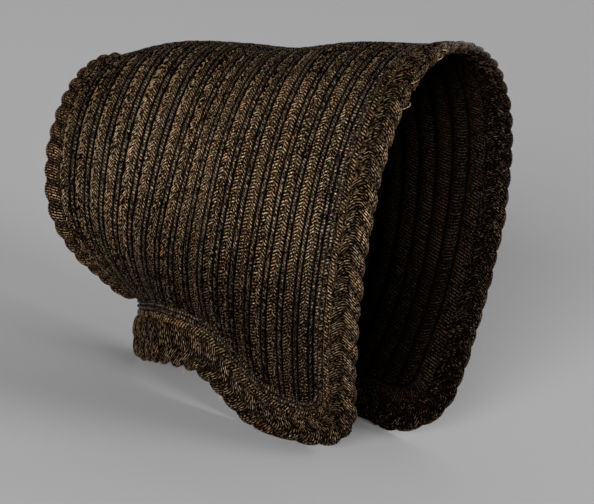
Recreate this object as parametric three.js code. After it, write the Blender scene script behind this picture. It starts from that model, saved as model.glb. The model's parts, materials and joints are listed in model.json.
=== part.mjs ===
// Poke bonnet of sewn plait: one long tunnel of crown and brim, made of plaited rows that run
// like hoops from one lower edge over the head to the other, closed at the back by a tip of
// round rows, with a lumpy braid round the tip and a corded plait and a thick scalloped braid
// round the whole opening. Units are millimetres.
//
// The bonnet is drawn as it sits on a head: x to the wearer's left, y backwards, z up, with the
// nape at the origin. The whole is then leaned back until the nape braid and the two cheek
// corners stand on one flat surface, which is where such a stiff bonnet rests by itself.
import * as THREE from 'three';

// Lengths of the shell
const topLength = 201;          // tip to the front row, along the top line
const crownHeight = 150;        // top line above the nape
const brimHalfWidth = 93.5;     // half of the front row at its widest
const neckLength = 142;         // nape to the cheek corner, forwards
const neckHalfWidth = 64;       // half of the neck opening at the cheeks
const cheekDrop = 55.5;         // cheek corner below the nape
const tipOverhang = 21;         // how far the tip stands behind the nape
const cheekRound = 11;          // radius of the front row's corner at the cheek

// Plait sizes
const wall = 1.8;               // thickness of the sewn plait
const seamGap = 0.3;            // clear space left at every seam
const cordRise = 0.9;           // how far each row's corded front edge stands up
const cordShare = 0.3;          // part of a row's width that the cord takes
const cordCrest = 0.25;         // where the cord is highest, as a share from its front edge
const edgePlaitWidth = 11.5;    // corded plait inside the scalloped braid
const edgeCordRise = 0.8;       // how far its cord stands up
const edgeCordInner = 0.35;     // where that cord is highest, as a share of the plait's width
const edgeCordOuter = 0.45;     // and where it ends
const rimBraidWidth = 15.5;     // scalloped braid along the face opening
const cheekBraidWidth = 17.5;   // the same braid at the cheek corner
const neckBraidWidth = 14;      // and along the neck
const napeBraidWidth = 24;      // and puffed out at the nape
const braidThickness = 6.5;     // scalloped braid, across the wall
const lobePitch = 12.4;         // from one scallop to the next
const lobeDepth = 2;            // how deep the notches between scallops are
const tipBraidWidth = 9;        // lumpy braid round the tip
const tipBraidThickness = 6.5;
const tipRowWidth = 10.6;       // width of the round rows that close the tip
const tipBulge = 8;             // how far the middle of the tip swells backwards
const tipReach = 0.94;          // how far down the first hoop the tip braid follows it
const settle = 1.5;             // how far the braid is pressed flat where it stands

// Counts
const rowCount = 17;            // hoop rows between the tip and the edge plait
const hoopSteps = 15;           // steps of a row on each side of the top line
const tipSteps = 28;            // steps round a row of the tip
const lobeSteps = 3;            // steps along one scallop
const edgePitch = 10.3;         // step along the edge plait
const tipLineSteps = 24;        // steps down each side of the tip braid's line
const leanSteps = 20;           // rounds in which the lean is found

// Sections of the shell from the tip (first) to the front row (last), evenly spaced in rows.
// top, height, half, neck, neckHalf and drop are shares of topLength, crownHeight,
// brimHalfWidth, neckLength, neckHalfWidth and cheekDrop. widest is the share of the height
// from the neck edge to the top at which the hoop is widest.
const sections = [
  { top: 0.00, height: 0.955, half: 0.865, widest: 0.40, neck: 0.00, neckHalf: 0.18, drop: 0.00 },
  { top: 0.21, height: 1.01, half: 0.89, widest: 0.36, neck: 0.10, neckHalf: 0.46, drop: 0.00 },
  { top: 0.43, height: 1.00, half: 0.91, widest: 0.35, neck: 0.265, neckHalf: 0.77, drop: 0.01 },
  { top: 0.595, height: 0.98, half: 0.96, widest: 0.37, neck: 0.52, neckHalf: 0.90, drop: 0.22 },
  { top: 0.795, height: 1.00, half: 1.00, widest: 0.41, neck: 0.77, neckHalf: 0.98, drop: 0.77 },
  { top: 1.00, height: 0.99, half: 1.00, widest: 0.47, neck: 1.00, neckHalf: 1.00, drop: 1.00 },
];
// How the hoops bend at the tip, half way and at the front row: swing is the power that holds
// back the turn forwards to the neck edge, arch the power of the rounded top and tuck the
// power of the lower side, which draws in to the neck.
const bends = [
  { swing: 2.3, arch: 1.90, tuck: 1.8 },
  { swing: 2.05, arch: 2.05, tuck: 2.3 },
  { swing: 1.1, arch: 2.25, tuck: 2.05 },
];
// Width of the scalloped braid by place: 0 is the top of the face opening, 1 the start of the
// cheek corner, 2 its end and 3 the middle of the nape
const braidWidths = [
  { place: 0.0, width: rimBraidWidth },
  { place: 0.8, width: rimBraidWidth },
  { place: 1.5, width: cheekBraidWidth },
  { place: 2.3, width: neckBraidWidth },
  { place: 2.62, width: napeBraidWidth },
  { place: 3.0, width: napeBraidWidth },
];

// Section of the scalloped braid: out is a share of its width, high a share of half its thickness
const braidSection = [
  { out: 0.00, high: -0.60 },
  { out: 0.55, high: -1.00 },
  { out: 1.00, high: -0.45 },
  { out: 1.00, high: 0.45 },
  { out: 0.55, high: 1.00 },
  { out: 0.00, high: 0.60 },
];

const arcSamples = 60;          // points used to measure a hoop's length
const sliver = 0.004;           // small step for slopes
const up = new THREE.Vector3(0, 0, 1);

// Smooth curve through one column of an evenly spaced table, at u from 0 to 1
function column(table, name, u) {
  const t = u * (table.length - 1);
  const i = THREE.MathUtils.clamp(Math.floor(t), 0, table.length - 2);
  const f = t - i;
  const b = table[i][name];
  const c = table[i + 1][name];
  const a = i > 0 ? table[i - 1][name] : 2 * b - c;
  const d = i + 2 < table.length ? table[i + 2][name] : 2 * c - b;
  const bend = 2 * a - 5 * b + 4 * c - d + f * (3 * (b - c) + d - a);
  return b + 0.5 * f * (c - a + f * bend);
}

// One side of the hoop at u, from the top line down to the neck edge, with its length so far
const hoopCache = new Map();
function halfHoop(u) {
  if (hoopCache.has(u)) return hoopCache.get(u);
  const topY = tipOverhang - topLength * column(sections, 'top', u);
  const topZ = crownHeight * column(sections, 'height', u);
  const half = brimHalfWidth * column(sections, 'half', u);
  const neckY = -neckLength * column(sections, 'neck', u);
  const neckX = neckHalfWidth * column(sections, 'neckHalf', u);
  const neckZ = -cheekDrop * column(sections, 'drop', u);
  const wideZ = neckZ + (topZ - neckZ) * column(sections, 'widest', u);
  const swing = column(bends, 'swing', u);
  const arch = column(bends, 'arch', u);
  const tuck = column(bends, 'tuck', u);
  const points = [];
  for (let i = 0; i <= arcSamples; i++) {
    const t = 2 * i / arcSamples;
    const angle = Math.min(t, 1) * Math.PI / 2;
    const down = Math.max(t - 1, 0);
    const rounded = Math.sin(angle) ** (2 / arch);
    const x = t <= 1 ? half * rounded : half - (half - neckX) * down ** tuck;
    const high = Math.max(Math.cos(angle), 0) ** (2 / arch);
    const z = t <= 1 ? wideZ + (topZ - wideZ) * high : wideZ - (wideZ - neckZ) * down;
    const y = topY + (neckY - topY) * Math.max((topZ - z) / (topZ - neckZ), 0) ** swing;
    points.push(new THREE.Vector3(x, y, z));
  }
  const lengths = [0];
  for (let i = 1; i <= arcSamples; i++) {
    lengths.push(lengths[i - 1] + points[i].distanceTo(points[i - 1]));
  }
  const hoop = { points, lengths, length: lengths[arcSamples] };
  hoopCache.set(u, hoop);
  return hoop;
}

// Point of the shell's inner surface: share 0 is the top line, 1 the neck edge on the left and
// -1 the neck edge on the right, in equal steps of length
function shellPoint(u, share) {
  const hoop = halfHoop(u);
  const target = Math.min(Math.abs(share), 1) * hoop.length;
  let i = 1;
  while (i < arcSamples && hoop.lengths[i] < target) i++;
  const span = hoop.lengths[i] - hoop.lengths[i - 1];
  const point = hoop.points[i - 1].clone();
  point.lerp(hoop.points[i], (target - hoop.lengths[i - 1]) / span);
  if (share < 0) point.x *= -1;
  return point;
}

// Outward unit normal of the shell
function shellNormal(u, share) {
  const along = shellPoint(u + sliver, share).sub(shellPoint(u - sliver, share));
  const from = shellPoint(u, Math.max(share - 5 * sliver, -1));
  const round = shellPoint(u, Math.min(share + 5 * sliver, 1)).sub(from);
  return along.cross(round).normalize();
}

// The front rows stop short at the cheek, so that the edge can go round a corner
const cheekRate = shellPoint(1, 1).distanceTo(shellPoint(0.9, 1)) / 0.1;
function endShare(u) {
  const inset = Math.max(cheekRound - (1 - u) * cheekRate, 0);
  const cut = cheekRound - Math.sqrt(cheekRound ** 2 - inset ** 2);
  return 1 - cut / halfHoop(u).length;
}

// Lower edge of the rows on the left, from the front row's corner (u 1) to the tip (u 0)
function neckEdge(u) {
  return shellPoint(u, endShare(u));
}

// Outward normal of the band that hangs from the neck edge: level, and square to the edge.
// Round the cheek corner it turns into the shell's own normal.
function bandNormal(u) {
  const run = neckEdge(Math.min(u + sliver, 1)).sub(neckEdge(u - sliver));
  const level = up.clone().cross(run).normalize();
  const turn = THREE.MathUtils.smoothstep((1 - u) * cheekRate, 0, 2 * cheekRound);
  return shellNormal(u, endShare(u)).lerp(level, turn).normalize();
}

// Direction and length, for each millimetre of thickness, of the mitre between two normals
function mitre(normalA, normalB) {
  const middle = normalA.clone().add(normalB).normalize();
  return middle.divideScalar(middle.dot(normalA));
}

// Closed body through a list of sections with as many corners each. A ring joins its last
// section to its first, and a strip is capped by fans from each end section's first corner.
function bodyThrough(rings, closed) {
  const corners = rings[0].length;
  const positions = rings.flat().flatMap((p) => [p.x, p.y, p.z]);
  const faces = [];
  const spans = closed ? rings.length : rings.length - 1;
  for (let i = 0; i < spans; i++) {
    const here = i * corners;
    const next = ((i + 1) % rings.length) * corners;
    for (let j = 0; j < corners; j++) {
      const k = (j + 1) % corners;
      faces.push([here + j, next + j, next + k], [here + j, next + k, here + k]);
    }
  }
  if (!closed) {
    const last = (rings.length - 1) * corners;
    for (let j = 1; j < corners - 1; j++) {
      faces.push([0, j, j + 1], [last, last + j + 1, last + j]);
    }
  }
  return bodyFrom(positions, faces);
}

// Geometry from corners and faces, turned inside out if its faces point inwards
function bodyFrom(positions, faces) {
  const corner = (i) => new THREE.Vector3().fromArray(positions, 3 * i);
  const volume = faces.reduce((sum, [a, b, c]) => sum + corner(a).dot(corner(b).cross(corner(c))), 0);
  const order = volume < 0 ? faces.map(([a, b, c]) => [a, c, b]) : faces;
  const geometry = new THREE.BufferGeometry();
  geometry.setAttribute('position', new THREE.Float32BufferAttribute(positions, 3));
  geometry.setIndex(order.flat());
  geometry.computeVertexNormals();
  return geometry;
}

const bonnet = new THREE.Group();
const worn = new THREE.Group();
bonnet.add(worn);

function addPiece(name, geometry, color, roughness) {
  const material = new THREE.MeshStandardMaterial({ color, roughness, metalness: 0 });
  const mesh = new THREE.Mesh(geometry, material);
  mesh.name = name;
  worn.add(mesh);
  return mesh;
}

// One edge of a row, t from -1 to 1 along the hoop: its point, the way the thickness goes and
// the way ahead, square to the hoop, that leads to the next row
function seam(u, t) {
  const end = endShare(u) - seamGap / halfHoop(u).length;
  const share = t * end;
  const point = shellPoint(u, share);
  const normal = shellNormal(u, share);
  const from = shellPoint(u, share - 5 * sliver);
  const ahead = shellPoint(u, share + 5 * sliver).sub(from).cross(normal).normalize();
  if (Math.abs(t) < 1) return { point, lift: normal, ahead };
  const level = bandNormal(u);
  if (t < 0) level.x *= -1;
  return { point, lift: mitre(normal, level), ahead };
}

// Hoop row: a flat plait with a raised cord along its front edge. The last row's end turns the
// cheek corner, so it has one more corner inside, under the foot of the cord.
function plaitRow(index) {
  const rings = [];
  for (let i = -hoopSteps; i <= hoopSteps; i++) {
    const t = i / hoopSteps;
    const back = seam(index / rowCount, t);
    const foot = seam((index + 1 - cordShare) / rowCount, t);
    const front = seam((index + 1) / rowCount, t);
    back.point.addScaledVector(back.ahead, seamGap / 2);
    front.point.addScaledVector(front.ahead, -seamGap / 2);
    const raised = (edge, height) => edge.point.clone().addScaledVector(edge.lift, height);
    const crest = raised(front, wall + cordRise).lerp(raised(foot, wall + cordRise), cordCrest);
    const ring = [raised(foot, wall), raised(back, wall), back.point, front.point, crest];
    if (index === rowCount - 1) ring.splice(3, 0, foot.point);
    rings.push(ring);
  }
  return bodyThrough(rings, false);
}

for (let index = 0; index < rowCount; index++) {
  const name = 'plait_row_' + String(index + 1).padStart(2, '0');
  addPiece(name, plaitRow(index), 0x33291f, 0.75);
}

// Path of the whole opening on the left: from the top of the face opening down the front row,
// round the cheek corner and back along the neck edge to the middle of the nape
function openingPath() {
  const path = [];
  const rimSteps = 40;
  const cornerSteps = 10;
  const neckSteps = 40;
  for (let i = 0; i < rimSteps; i++) {
    const share = endShare(1) * i / rimSteps;
    const normal = shellNormal(1, share);
    path.push({ place: i / rimSteps, point: shellPoint(1, share), normal, lift: normal });
  }
  const addEdge = (u, place) => {
    const normal = bandNormal(u);
    const lift = mitre(normal, shellNormal(u, endShare(u)));
    path.push({ place, point: neckEdge(u), normal, lift });
  };
  const cornerEnd = 1 - cheekRound / cheekRate;
  for (let i = 0; i <= cornerSteps; i++) {
    const angle = Math.PI / 2 * i / cornerSteps;
    addEdge(1 - (1 - cornerEnd) * (1 - Math.cos(angle)), 1 + i / cornerSteps);
  }
  for (let i = 1; i <= neckSteps; i++) {
    addEdge(cornerEnd * (1 - i / neckSteps), 2 + 0.9 * i / neckSteps);
  }
  // The middle of the nape, a parabola that comes out level across the back
  const side = path[path.length - 1];
  const slope = side.normal.x / side.normal.y;
  for (const share of [2 / 3, 1 / 3]) {
    const x = side.point.x * share;
    const rise = slope * side.point.x * (1 - share ** 2) / 2;
    const point = new THREE.Vector3(x, side.point.y + rise, side.point.z);
    const normal = new THREE.Vector3(side.normal.x * share, side.normal.y, 0).normalize();
    path.push({ place: 3 - 0.1 * share, point, normal, lift: normal });
  }
  return path;
}

// Both sides of the opening as one loop, with the way outwards along the surface at each point
function openingLoop() {
  const left = openingPath();
  const mirror = (v) => new THREE.Vector3(-v.x, v.y, v.z);
  const right = left.slice(1).reverse().map((p) => (
    { place: p.place, point: mirror(p.point), normal: mirror(p.normal), lift: mirror(p.lift) }
  ));
  const loop = [...left, ...right];
  loop.forEach((station, i) => {
    const before = loop[(i + loop.length - 1) % loop.length].point;
    const run = loop[(i + 1) % loop.length].point.clone().sub(before);
    station.outward = run.cross(station.normal).normalize();
  });
  return loop;
}

// Stations in equal steps along the line that lies offset outwards from the opening
function evenStations(loop, offset, count) {
  const line = loop.map((s) => s.point.clone().addScaledVector(s.outward, offset));
  const lengths = [0];
  line.forEach((p, i) => lengths.push(lengths[i] + p.distanceTo(line[(i + 1) % line.length])));
  const total = lengths[line.length];
  const stations = [];
  let i = 0;
  for (let n = 0; n < count; n++) {
    const target = total * (n + 0.5) / count;
    while (lengths[i + 1] < target) i++;
    const f = (target - lengths[i]) / (lengths[i + 1] - lengths[i]);
    const a = loop[i];
    const b = loop[(i + 1) % loop.length];
    const blend = (name) => a[name].clone().lerp(b[name], f);
    stations.push({
      place: THREE.MathUtils.lerp(a.place, b.place, f),
      point: blend('point'),
      normal: blend('normal').normalize(),
      lift: blend('lift'),
      outward: blend('outward').normalize(),
    });
  }
  return { stations, total };
}

const opening = openingLoop();
const braidLine = edgePlaitWidth + neckBraidWidth / 2;
const braidLength = evenStations(opening, braidLine, 1).total;

// Edge plait: flat, with cords standing up along its inner edge, right round the opening
function edgePlait() {
  const count = 2 * Math.round(braidLength / edgePitch / 2);
  const { stations } = evenStations(opening, edgePlaitWidth, count);
  const rings = stations.map((s) => {
    const corner = (out, height, lift) => s.point.clone()
      .addScaledVector(s.outward, out).addScaledVector(lift, height);
    const outer = edgePlaitWidth - seamGap / 2;
    return [
      corner(seamGap / 2, 0, s.lift),
      corner(outer, 0, s.normal),
      corner(outer, wall, s.normal),
      corner(edgePlaitWidth * edgeCordOuter, wall, s.normal),
      corner(edgePlaitWidth * edgeCordInner, wall + edgeCordRise, s.normal),
      corner(seamGap / 2, wall, s.lift),
    ];
  });
  return bodyThrough(rings, true);
}
addPiece('edge_plait', edgePlait(), 0x3a2f25, 0.75);

function braidWidthAt(place) {
  const i = Math.max(braidWidths.findIndex((row) => row.place >= place), 1);
  const a = braidWidths[i - 1];
  const b = braidWidths[i];
  const f = THREE.MathUtils.smoothstep(place, a.place, b.place);
  return THREE.MathUtils.lerp(a.width, b.width, f);
}

// Swelling of a lumpy braid, 0 in a notch and 1 on a lobe
function lobeSwell(step) {
  return Math.sin(Math.PI * (step % lobeSteps + 0.5) / lobeSteps);
}

// Scalloped braid: thick lobes side by side, right round the opening
function scallopedBraid() {
  const lobes = 2 * Math.round(braidLength / lobePitch / 2);
  const { stations } = evenStations(opening, braidLine, lobes * lobeSteps);
  const rings = stations.map((s, i) => {
    const swell = lobeSwell(i);
    const width = braidWidthAt(s.place) - lobeDepth * (1 - swell);
    const half = braidThickness / 2 - lobeDepth / 2 * (1 - swell);
    return braidSection.map((corner) => s.point.clone()
      .addScaledVector(s.outward, edgePlaitWidth + seamGap / 2 + width * corner.out)
      .addScaledVector(s.normal, wall / 2 + half * corner.high));
  });
  return bodyThrough(rings, true);
}
const scalloped = addPiece('scalloped_braid', scallopedBraid(), 0x2f251c, 0.8);

// Line of the braid round the tip: behind the first row, and closed across the nape just above
// the neck band
function tipBraidLine() {
  const behind = tipBraidWidth / 2 + seamGap;
  const left = [];
  for (let i = 0; i <= tipLineSteps; i++) {
    const share = tipReach * i / tipLineSteps;
    const point = shellPoint(0, share);
    const normal = shellNormal(0, share);
    const from = shellPoint(0, Math.max(share - sliver, -1));
    const run = shellPoint(0, Math.min(share + sliver, 1)).sub(from);
    const backward = normal.clone().cross(run).normalize();
    left.push(point.addScaledVector(backward, behind).addScaledVector(normal, wall / 2));
  }
  const nape = opening.reduce((a, b) => (b.point.y > a.point.y && b.point.z < behind ? b : a));
  const over = tipBraidThickness / 2 + lobeDepth + seamGap;
  const bottom = new THREE.Vector3(0, nape.point.y + behind, over);
  const right = left.slice(1).reverse().map((p) => new THREE.Vector3(-p.x, p.y, p.z));
  return new THREE.CatmullRomCurve3([...left, bottom, ...right], true, 'centripetal');
}
const tipLine = tipBraidLine();
const tipMiddle = new THREE.Box3().setFromPoints(tipLine.getPoints(100)).getCenter(new THREE.Vector3());

// Frame of the tip braid at a share of its length: inwards points to the middle of the tip
function tipStation(share) {
  const point = tipLine.getPointAt(share);
  const run = tipLine.getTangentAt(share);
  const inward = tipMiddle.clone().sub(point);
  inward.addScaledVector(run, -inward.dot(run)).normalize();
  const behind = inward.clone().cross(run).normalize();
  if (behind.y < 0) behind.negate();
  return { point, inward, behind };
}

// Lumpy braid round the tip
function tipBraid() {
  const lobes = 2 * Math.round(tipLine.getLength() / lobePitch / 2);
  const rings = [];
  for (let i = 0; i < lobes * lobeSteps; i++) {
    const { point, inward, behind } = tipStation((i + 0.5) / (lobes * lobeSteps));
    const shrink = 1 - lobeDepth / tipBraidThickness * (1 - lobeSwell(i));
    const ring = [];
    for (let j = 0; j < 6; j++) {
      const angle = Math.PI / 3 * (j + 0.5);
      ring.push(point.clone()
        .addScaledVector(inward, tipBraidThickness / 2 * shrink * Math.cos(angle))
        .addScaledVector(behind, tipBraidWidth / 2 * shrink * Math.sin(angle)));
    }
    rings.push(ring);
  }
  return bodyThrough(rings, true);
}
addPiece('tip_braid', tipBraid(), 0x4a3420, 0.75);

// Tip: round rows inside the braid. scale 1 is the rim of the tip, 0 its middle.
const tipMeanRadius = tipLine.getLength() / (2 * Math.PI) - tipBraidThickness / 2 - seamGap;
function tipPoint(scale, share) {
  const { point, inward } = tipStation(share);
  point.addScaledVector(inward, tipBraidThickness / 2 + seamGap);
  point.lerp(tipMiddle, 1 - scale);
  point.y += tipBulge * (1 - scale ** 2);
  return point;
}

function tipNormal(scale, share) {
  const across = tipPoint(scale + sliver, share).sub(tipPoint(scale - sliver, share));
  const ahead = tipPoint(scale, (share + sliver) % 1);
  const run = ahead.sub(tipPoint(scale, (share + 1 - sliver) % 1));
  const normal = across.cross(run).normalize();
  return normal.y < 0 ? normal.negate() : normal;
}

function tipRow(outer, inner) {
  const rings = [];
  const trim = seamGap / 2 / tipMeanRadius;
  for (let i = 0; i < tipSteps; i++) {
    const share = i / tipSteps;
    const corner = (scale, height) => tipPoint(scale, share)
      .addScaledVector(tipNormal(scale, share), height - wall / 2);
    rings.push([
      corner(outer - trim, 0),
      corner(outer - trim, wall),
      corner(inner + trim, wall),
      corner(inner + trim, 0),
    ]);
  }
  return bodyThrough(rings, true);
}

// Small button that closes the middle of the tip
function tipButton(outer) {
  const scale = outer - seamGap / 2 / tipMeanRadius;
  const steps = tipSteps / 2;
  const rim = [];
  for (let i = 0; i < steps; i++) rim.push(tipPoint(scale, i / steps));
  const lift = tipNormal(scale, 0).multiplyScalar(wall / 2);
  const centre = tipPoint(0, 0);
  const points = [...rim.map((p) => p.clone().sub(lift)), ...rim.map((p) => p.clone().add(lift))];
  points.push(centre.clone().sub(lift), centre.clone().add(lift));
  const faces = [];
  for (let i = 0; i < steps; i++) {
    const j = (i + 1) % steps;
    faces.push([i, j, steps + j], [i, steps + j, steps + i]);
    faces.push([2 * steps, j, i], [2 * steps + 1, steps + i, steps + j]);
  }
  return bodyFrom(points.flatMap((p) => [p.x, p.y, p.z]), faces);
}

const tipRowCount = Math.floor(tipMeanRadius / tipRowWidth);
const tipStep = tipRowWidth / tipMeanRadius;
for (let index = 0; index < tipRowCount; index++) {
  const outer = 1 - index * tipStep;
  addPiece('tip_row_' + (index + 1), tipRow(outer, outer - tipStep), 0x33291f, 0.75);
}
addPiece('tip_button', tipButton(1 - tipRowCount * tipStep), 0x33291f, 0.75);

// Lean the worn bonnet back until the nape and both cheek corners stand on one level
function lowest(lean, front) {
  const position = scalloped.geometry.getAttribute('position');
  let low = Infinity;
  for (let i = 0; i < position.count; i++) {
    const y = position.getY(i);
    if (y < -neckLength / 2 === front) {
      low = Math.min(low, position.getZ(i) * Math.cos(lean) + y * Math.sin(lean));
    }
  }
  return low;
}
let lean = 0;
for (let i = 0; i < leanSteps; i++) {
  lean += (lowest(lean, true) - lowest(lean, false)) / neckLength;
}
const ground = lowest(lean, true) + settle;

// Press the braid flat where it stands
function pressFlat(geometry) {
  const position = geometry.getAttribute('position');
  for (let i = 0; i < position.count; i++) {
    const y = position.getY(i);
    const z = position.getZ(i);
    const sunk = Math.max(ground - (z * Math.cos(lean) + y * Math.sin(lean)), 0);
    position.setXYZ(i, position.getX(i), y + sunk * Math.sin(lean), z + sunk * Math.cos(lean));
  }
}
pressFlat(scalloped.geometry);

worn.rotation.x = lean;
bonnet.updateMatrixWorld(true);
const box = new THREE.Box3().setFromObject(bonnet, true);
worn.position.set(0, -(box.min.y + box.max.y) / 2, -ground);

export default bonnet;
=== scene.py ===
# %% [markdown]
# A poke bonnet of sewn straw plait
#
# The bonnet is one long tunnel: a crown that opens without a break into a wide brim. It is
# made of hoops of flat plait, each sewn to the next along a twisted cord, and closed at the
# back by a round tip. A corded plait and a thick scalloped braid go right round the opening.
#
# The frame is loaded first. It holds the bonnet as plain solids at rest on their surface, and
# everything made here is laid over those solids, in metres and in the same place.

# %% Load the frame
import json
import math

import bpy
import numpy as np
from mathutils import Matrix, Vector

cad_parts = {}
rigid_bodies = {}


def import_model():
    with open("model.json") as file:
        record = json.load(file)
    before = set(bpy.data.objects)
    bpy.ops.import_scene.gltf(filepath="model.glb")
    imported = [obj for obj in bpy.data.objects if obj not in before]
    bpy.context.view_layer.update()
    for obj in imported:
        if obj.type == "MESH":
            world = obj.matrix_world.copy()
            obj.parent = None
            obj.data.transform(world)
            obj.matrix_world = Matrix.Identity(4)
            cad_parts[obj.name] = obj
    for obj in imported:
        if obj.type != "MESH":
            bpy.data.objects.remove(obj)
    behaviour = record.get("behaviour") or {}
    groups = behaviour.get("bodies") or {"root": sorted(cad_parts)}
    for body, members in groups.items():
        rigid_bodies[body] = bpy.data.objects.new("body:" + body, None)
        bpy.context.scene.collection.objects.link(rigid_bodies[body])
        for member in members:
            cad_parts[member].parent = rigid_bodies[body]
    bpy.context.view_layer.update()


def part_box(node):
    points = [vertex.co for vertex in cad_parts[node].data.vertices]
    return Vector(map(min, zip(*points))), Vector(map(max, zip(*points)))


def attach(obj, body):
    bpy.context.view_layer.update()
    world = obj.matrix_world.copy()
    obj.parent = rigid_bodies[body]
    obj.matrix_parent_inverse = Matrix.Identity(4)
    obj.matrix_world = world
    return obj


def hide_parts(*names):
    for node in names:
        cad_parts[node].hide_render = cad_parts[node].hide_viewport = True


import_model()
MM = 0.001

# %% [markdown]
# The shape of the straw shell
#
# A maker sews the hoops over a wooden block, so every hoop is a smooth arch and each one is a
# little larger than the one behind it. Here the block is six arches, given as shares of a few
# sizes, with a smooth curve run through them. A straight loft between the six would show
# corners, and a sculpted mesh could not be measured, so a worked-out curve is used.
#
# The bonnet is drawn as it is worn: x to the wearer's left, y backwards, z up, in millimetres,
# with the nape at the origin.

# %% The block: sizes and arches
TOP_LENGTH, CROWN_HEIGHT, BRIM_HALF_WIDTH = 201.0, 150.0, 93.5
NECK_LENGTH, NECK_HALF_WIDTH, CHEEK_DROP = 142.0, 64.0, 55.5
TIP_OVERHANG, CHEEK_ROUND, WALL = 21.0, 11.0, 1.8
ROWS, SEAM = 17, 0.3

ARCHES = {
    "top": [0.00, 0.21, 0.43, 0.595, 0.795, 1.00],
    "height": [0.955, 1.01, 1.00, 0.98, 1.00, 0.99],
    "half": [0.865, 0.89, 0.91, 0.96, 1.00, 1.00],
    "widest": [0.40, 0.36, 0.35, 0.37, 0.41, 0.47],
    "neck": [0.00, 0.10, 0.265, 0.52, 0.77, 1.00],
    "neck_half": [0.18, 0.46, 0.77, 0.90, 0.98, 1.00],
    "drop": [0.00, 0.00, 0.01, 0.22, 0.77, 1.00],
    "swing": [2.3, 2.05, 1.1],
    "arch": [1.90, 2.05, 2.25],
    "tuck": [1.8, 2.3, 2.05],
}
print("block:", TOP_LENGTH, "mm along the top,", NECK_LENGTH, "mm along the neck,", ROWS, "rows")


# %% Arches between the listed ones
def arch_value(name, u):
    """Smooth curve through evenly spaced values: between two of them, a cubic that leaves each
    with the slope of the line through its neighbours."""
    values = np.asarray(ARCHES[name], float)
    last = len(values) - 1
    t = np.asarray(u, float) * last
    i = np.clip(np.floor(t).astype(int), 0, last - 1)
    f = t - i
    b, c = values[i], values[i + 1]
    a = np.where(i > 0, values[np.maximum(i - 1, 0)], 2 * b - c)
    d = np.where(i + 2 <= last, values[np.minimum(i + 2, last)], 2 * c - b)
    bend = 2 * a - 5 * b + 4 * c - d + f * (3 * (b - c) + d - a)
    return b + 0.5 * f * (c - a + f * bend)


def arch_lines(u, samples=800):
    """Left half of each hoop u, from the top line to the neck edge. Above the widest place the
    outline is a rounded arch: sine and cosine raised to the power 2 / arch. Below it the side
    draws in by the tuck power. The hoop leans forwards by the swing power of the depth."""
    u = np.atleast_1d(u)
    v = {name: arch_value(name, u)[:, None] for name in ARCHES}
    top_y = TIP_OVERHANG - TOP_LENGTH * v["top"]
    top_z = CROWN_HEIGHT * v["height"]
    half = BRIM_HALF_WIDTH * v["half"]
    neck_y, neck_z = -NECK_LENGTH * v["neck"], -CHEEK_DROP * v["drop"]
    neck_x = NECK_HALF_WIDTH * v["neck_half"]
    wide_z = neck_z + (top_z - neck_z) * v["widest"]
    t = np.linspace(0, 2, samples + 1)[None]
    angle, down = np.minimum(t, 1) * np.pi / 2, np.maximum(t - 1, 0)
    power = 2 / v["arch"]
    upper = t <= 1
    x = np.where(upper, half * np.sin(angle) ** power, half - (half - neck_x) * down ** v["tuck"])
    high = np.maximum(np.cos(angle), 0) ** power
    z = np.where(upper, wide_z + (top_z - wide_z) * high, wide_z - (wide_z - neck_z) * down)
    sunk = np.maximum((top_z - z) / (top_z - neck_z), 0)
    y = top_y + (neck_y - top_y) * sunk ** v["swing"]
    return np.stack([x, y, z], axis=-1)


print("the brim is", round(2 * float(arch_lines(1.0)[..., 0].max()), 1), "mm wide")

# %% A table of the shell
# It runs a little past the tip and the front row, so that both can be read across
U_FROM, U_TO, U_COUNT, SHARE_COUNT = -0.05, 1.05, 441, 401
u_lines = np.linspace(U_FROM, U_TO, U_COUNT)
share_lines = np.linspace(0, 1, SHARE_COUNT)


def even_lines(lines):
    """The same lines with their points in equal steps of length, and each line's length."""
    step = np.linalg.norm(np.diff(lines, axis=1), axis=2)
    run = np.concatenate([np.zeros((len(lines), 1)), np.cumsum(step, axis=1)], axis=1)
    even = [
        np.stack([np.interp(share_lines * r[-1], r, line[:, k]) for k in range(3)], axis=-1)
        for line, r in zip(lines, run)
    ]
    return np.array(even), run[:, -1]


block, hoop_lengths = even_lines(arch_lines(u_lines))
along_block = np.gradient(block, axis=0)
round_block = np.gradient(block, axis=1)
block_out = np.cross(along_block, round_block)
block_out[:, 0, 0] = 0
block_out /= np.linalg.norm(block_out, axis=2, keepdims=True)
print("half hoops in the table from", hoop_lengths[0].round(1), "to", hoop_lengths[-1].round(1), "mm")

# %% [markdown]
# Reading the shell
#
# Each place on the shell has two numbers: u runs from the tip (0) to the front row (1), and
# share runs from the top line (0) to the neck edge on the left (1) or on the right (-1). The
# arches could be worked out again for every point, but a fine table of them, read between its
# places, is much quicker and smooth enough for straws a tenth of a millimetre high.

# %% Points and normals anywhere on the shell
def read_block(table, u, share):
    """Value of the table at u and share: the mean of the four nearest places, each weighted by
    how near it is. The right half is the left one with x turned over."""
    u, share = np.broadcast_arrays(np.asarray(u, float), np.asarray(share, float))
    fu = (u - U_FROM) / (U_TO - U_FROM) * (U_COUNT - 1)
    fs = np.clip(np.abs(share), 0, 1) * (SHARE_COUNT - 1)
    i = np.clip(fu.astype(int), 0, U_COUNT - 2)
    j = np.clip(fs.astype(int), 0, SHARE_COUNT - 2)
    a, b = (fu - i)[..., None], (fs - j)[..., None]
    near = table[i, j] * (1 - a) + table[i + 1, j] * a
    far = table[i, j + 1] * (1 - a) + table[i + 1, j + 1] * a
    value = near * (1 - b) + far * b
    value[..., 0] *= np.where(share < 0, -1.0, 1.0)
    return value


def unit(v):
    """The same directions, each with a length of 1."""
    return v / np.maximum(np.linalg.norm(v, axis=-1, keepdims=True), 1e-9)


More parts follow.
